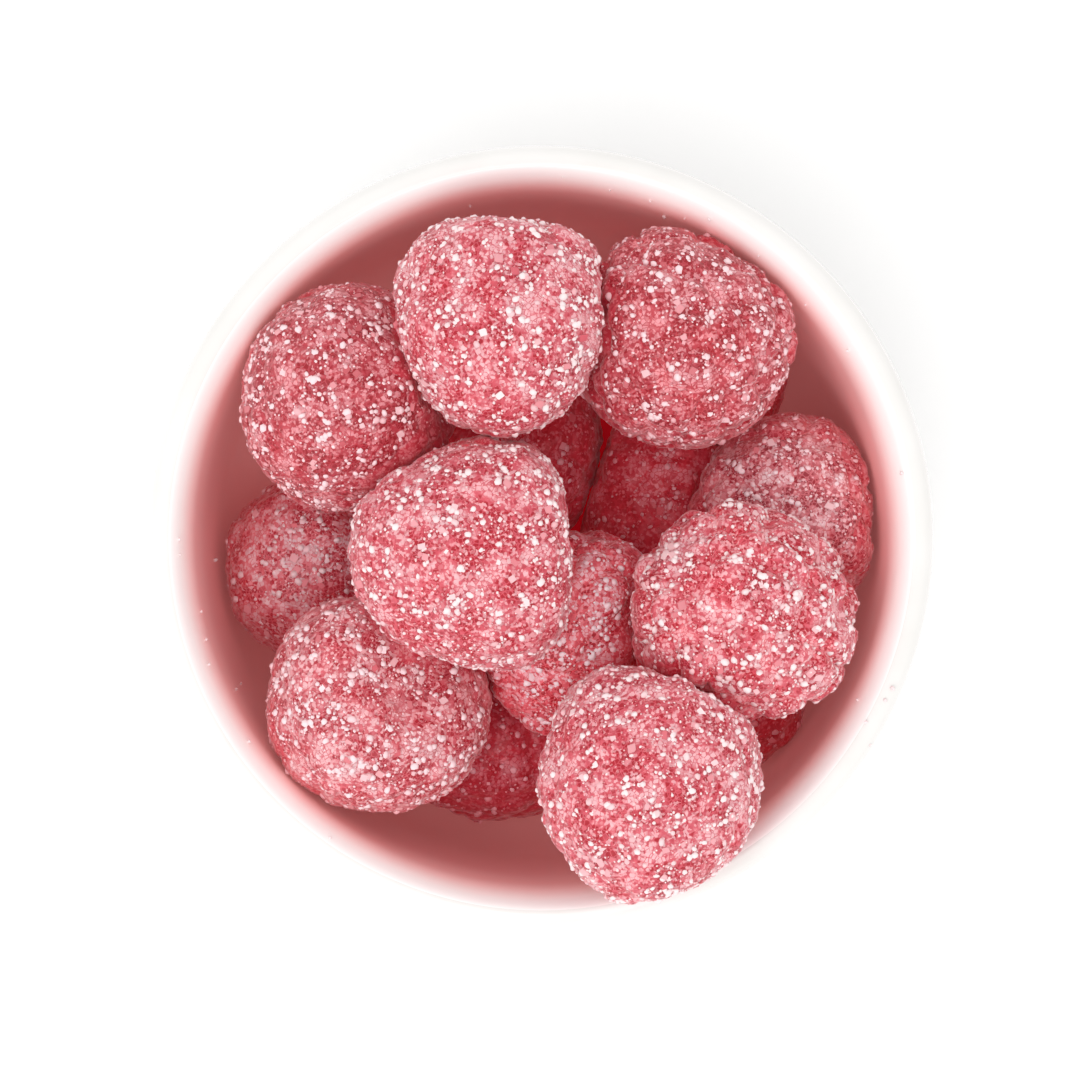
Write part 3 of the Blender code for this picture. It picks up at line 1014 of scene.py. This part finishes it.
def make_reliefs():
    """The patterns that press lobes, dents and grit into the gummies."""
    # White inside each lobe and dark along the creases between them
    lobes = relief_texture("lobes", "VORONOI", LOBE_SIZE, weight_1=-1.0, weight_2=1.0, use_color_ramp=True)
    lobes.color_ramp.interpolation = "EASE"
    crease, inside = lobes.color_ramp.elements
    crease.color = (0, 0, 0, 1)
    inside.color = (1, 1, 1, 1)
    inside.position = 0.16
    return lobes, relief_texture("dents", "CLOUDS", DENT_SIZE), relief_texture("grit", "VORONOI", GRIT_SIZE)


def make_sugared_gummies(finish, number, groups, reliefs, shapes, tree, ways):
    """The gummies that share a lit or shaded copy of the colours (painted light and shade), with the three
    sizes of sugar on them.
    """
    specks, through = groups
    deep, middle, pale, white = (srgb(*colour) for colour in LIT_AND_SHADED_PALETTES[finish])
    jelly = make_jelly(f"{finish}_jelly", specks, through, deep, middle, pale)
    clear = make_sugar(f"{finish}_clear_sugar", through, ((0.0, middle), (0.7, pale), (1.0, white)),
                       0.3, srgb(*SHADED_CLEAR_SUGAR))
    whitest = make_sugar(f"{finish}_white_sugar", through, ((0.0, pale), (0.3, white), (1.0, white)),
                         0.45, srgb(*SHADED_WHITE_SUGAR))
    bodies = []
    for name in PAINTED_LIGHT_TIERS[finish]:
        body = on_root(make_gummy(name, jelly, *reliefs))
        keep_reach(body, *light_reach(nodes[name], tree, ways))
        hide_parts(name)
        bodies.append(body)
    ground = seen_ground(bodies, f"{finish}_ground", tree)
    coats = {"crystals": clear, "fine_sugar": clear, "white_grains": whitest}
    for kind, how in SUGAR.items():
        piece = strew(f"{finish}_{kind}", ground, shapes[kind], coats[kind],
                      seed=SUGAR_SEEDS[kind] + number, **how)
        on_root(piece)
    discard(ground)


def main():
    deselect_all()
    groups = (make_speckle_group(), make_shade_group())
    bowl = on_root(make_bowl(make_white_glaze(), make_painted_bounce_glaze(), make_bare_foot()))
    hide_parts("bowl")

    reliefs = make_reliefs()
    shapes = {
        "crystals": make_plates(count=6, seed=5),
        "white_grains": make_pearls(count=5, seed=7),
        "fine_sugar": make_flakes(count=4, seed=9),
    }
    tree, ways = surroundings(), light_ways(LIGHT_WAYS)
    # Each tier is a lit or shaded copy of the same gummy colours: painted light and shade
    for number, finish in enumerate(PAINTED_LIGHT_TIERS):
        make_sugared_gummies(finish, number, groups, reliefs, shapes, tree, ways)

    _, _, pale, white = (srgb(*colour) for colour in LIT_AND_SHADED_PALETTES["bright"])
    coat = make_sugar("loose_sugar", groups[1], ((0.0, pale), (0.5, white)), 0.4, pale)
    on_root(make_loose_grains(bowl, shapes["white_grains"] + shapes["fine_sugar"], coat))
    for shape in (shape for kind in shapes.values() for shape in kind):
        discard(shape)
    make_stage()


main()
